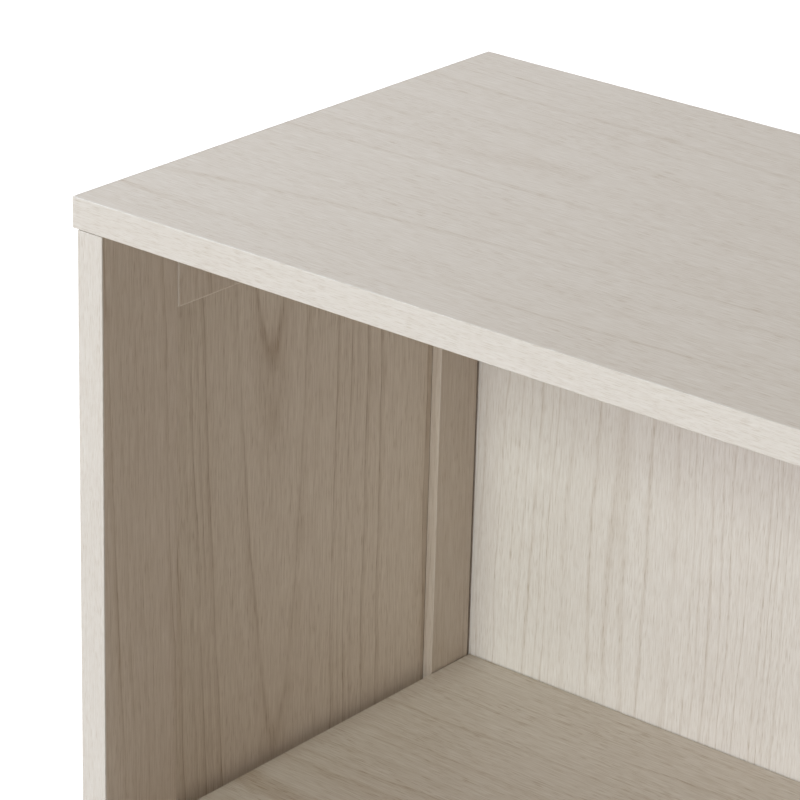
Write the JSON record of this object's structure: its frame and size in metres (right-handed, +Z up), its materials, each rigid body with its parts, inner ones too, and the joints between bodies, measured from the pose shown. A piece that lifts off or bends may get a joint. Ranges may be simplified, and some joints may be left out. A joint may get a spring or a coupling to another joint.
{
  "type": "bookcase",
  "caption": "Open upright bookcase with frame-and-panel sides, a top that laps over them, fixed shelves, a recessed plinth and a thin back held in grooves.",
  "frame": {"origin": "on the floor, under the middle of the top panel", "axes": "+Z up; the open front faces -Y; +X to the right of someone who faces the front; the grooved back is towards +Y"},
  "size_m": [0.6, 0.3, 1.0556],
  "materials": {
    "whitewashed_board": "satin whitewashed woodgrain face on particle board, fine grain along each board, edges banded in the same grain",
    "whitewashed_panel": "satin whitewashed woodgrain face on thin fibreboard, upright grain",
    "cam_casting": "dull zinc casting",
    "bolt_steel": "zinc plated steel",
    "dowel_beech": "raw beech",
    "glide_plastic": "matt moulded plastic"
  },
  "bodies": {
    "root": {"back_panel": "whitewashed_panel", "bottom_panel": "whitewashed_board", "kick_board": "whitewashed_board", "left_bottom_panel_front_cam_bolt": "bolt_steel", "left_bottom_panel_front_cam_lock": "cam_casting", "left_bottom_panel_rear_cam_bolt": "bolt_steel", "left_bottom_panel_rear_cam_lock": "cam_casting", "left_bottom_rail": "whitewashed_board", "left_front_glide": "glide_plastic", "left_front_stile": "whitewashed_board", "left_kick_board_lower_dowel": "dowel_beech", "left_kick_board_upper_dowel": "dowel_beech", "left_lower_shelf_front_cam_bolt": "bolt_steel", "left_lower_shelf_front_cam_lock": "cam_casting", "left_lower_shelf_rear_dowel": "dowel_beech", "left_rear_glide": "glide_plastic", "left_rear_stile": "whitewashed_board", "left_side_panel": "whitewashed_panel", "left_top_front_cam_bolt": "bolt_steel", "left_top_front_cam_lock": "cam_casting", "left_top_rail": "whitewashed_board", "left_top_rear_cam_bolt": "bolt_steel", "left_top_rear_cam_lock": "cam_casting", "left_top_rear_rail_lower_dowel": "dowel_beech", "left_top_rear_rail_upper_dowel": "dowel_beech", "left_upper_shelf_front_cam_bolt": "bolt_steel", "left_upper_shelf_front_cam_lock": "cam_casting", "left_upper_shelf_rear_dowel": "dowel_beech", "lower_shelf": "whitewashed_board", "right_bottom_panel_front_cam_bolt": "bolt_steel", "right_bottom_panel_front_cam_lock": "cam_casting", "right_bottom_panel_rear_cam_bolt": "bolt_steel", "right_bottom_panel_rear_cam_lock": "cam_casting", "right_bottom_rail": "whitewashed_board", "right_front_glide": "glide_plastic", "right_front_stile": "whitewashed_board", "right_kick_board_lower_dowel": "dowel_beech", "right_kick_board_upper_dowel": "dowel_beech", "right_lower_shelf_front_cam_bolt": "bolt_steel", "right_lower_shelf_front_cam_lock": "cam_casting", "right_lower_shelf_rear_dowel": "dowel_beech", "right_rear_glide": "glide_plastic", "right_rear_stile": "whitewashed_board", "right_side_panel": "whitewashed_panel", "right_top_front_cam_bolt": "bolt_steel", "right_top_front_cam_lock": "cam_casting", "right_top_rail": "whitewashed_board", "right_top_rear_cam_bolt": "bolt_steel", "right_top_rear_cam_lock": "cam_casting", "right_top_rear_rail_lower_dowel": "dowel_beech", "right_top_rear_rail_upper_dowel": "dowel_beech", "right_upper_shelf_front_cam_bolt": "bolt_steel", "right_upper_shelf_front_cam_lock": "cam_casting", "right_upper_shelf_rear_dowel": "dowel_beech", "top_panel": "whitewashed_board", "top_rear_rail": "whitewashed_board", "upper_shelf": "whitewashed_board"}
  },
  "joints": []
}
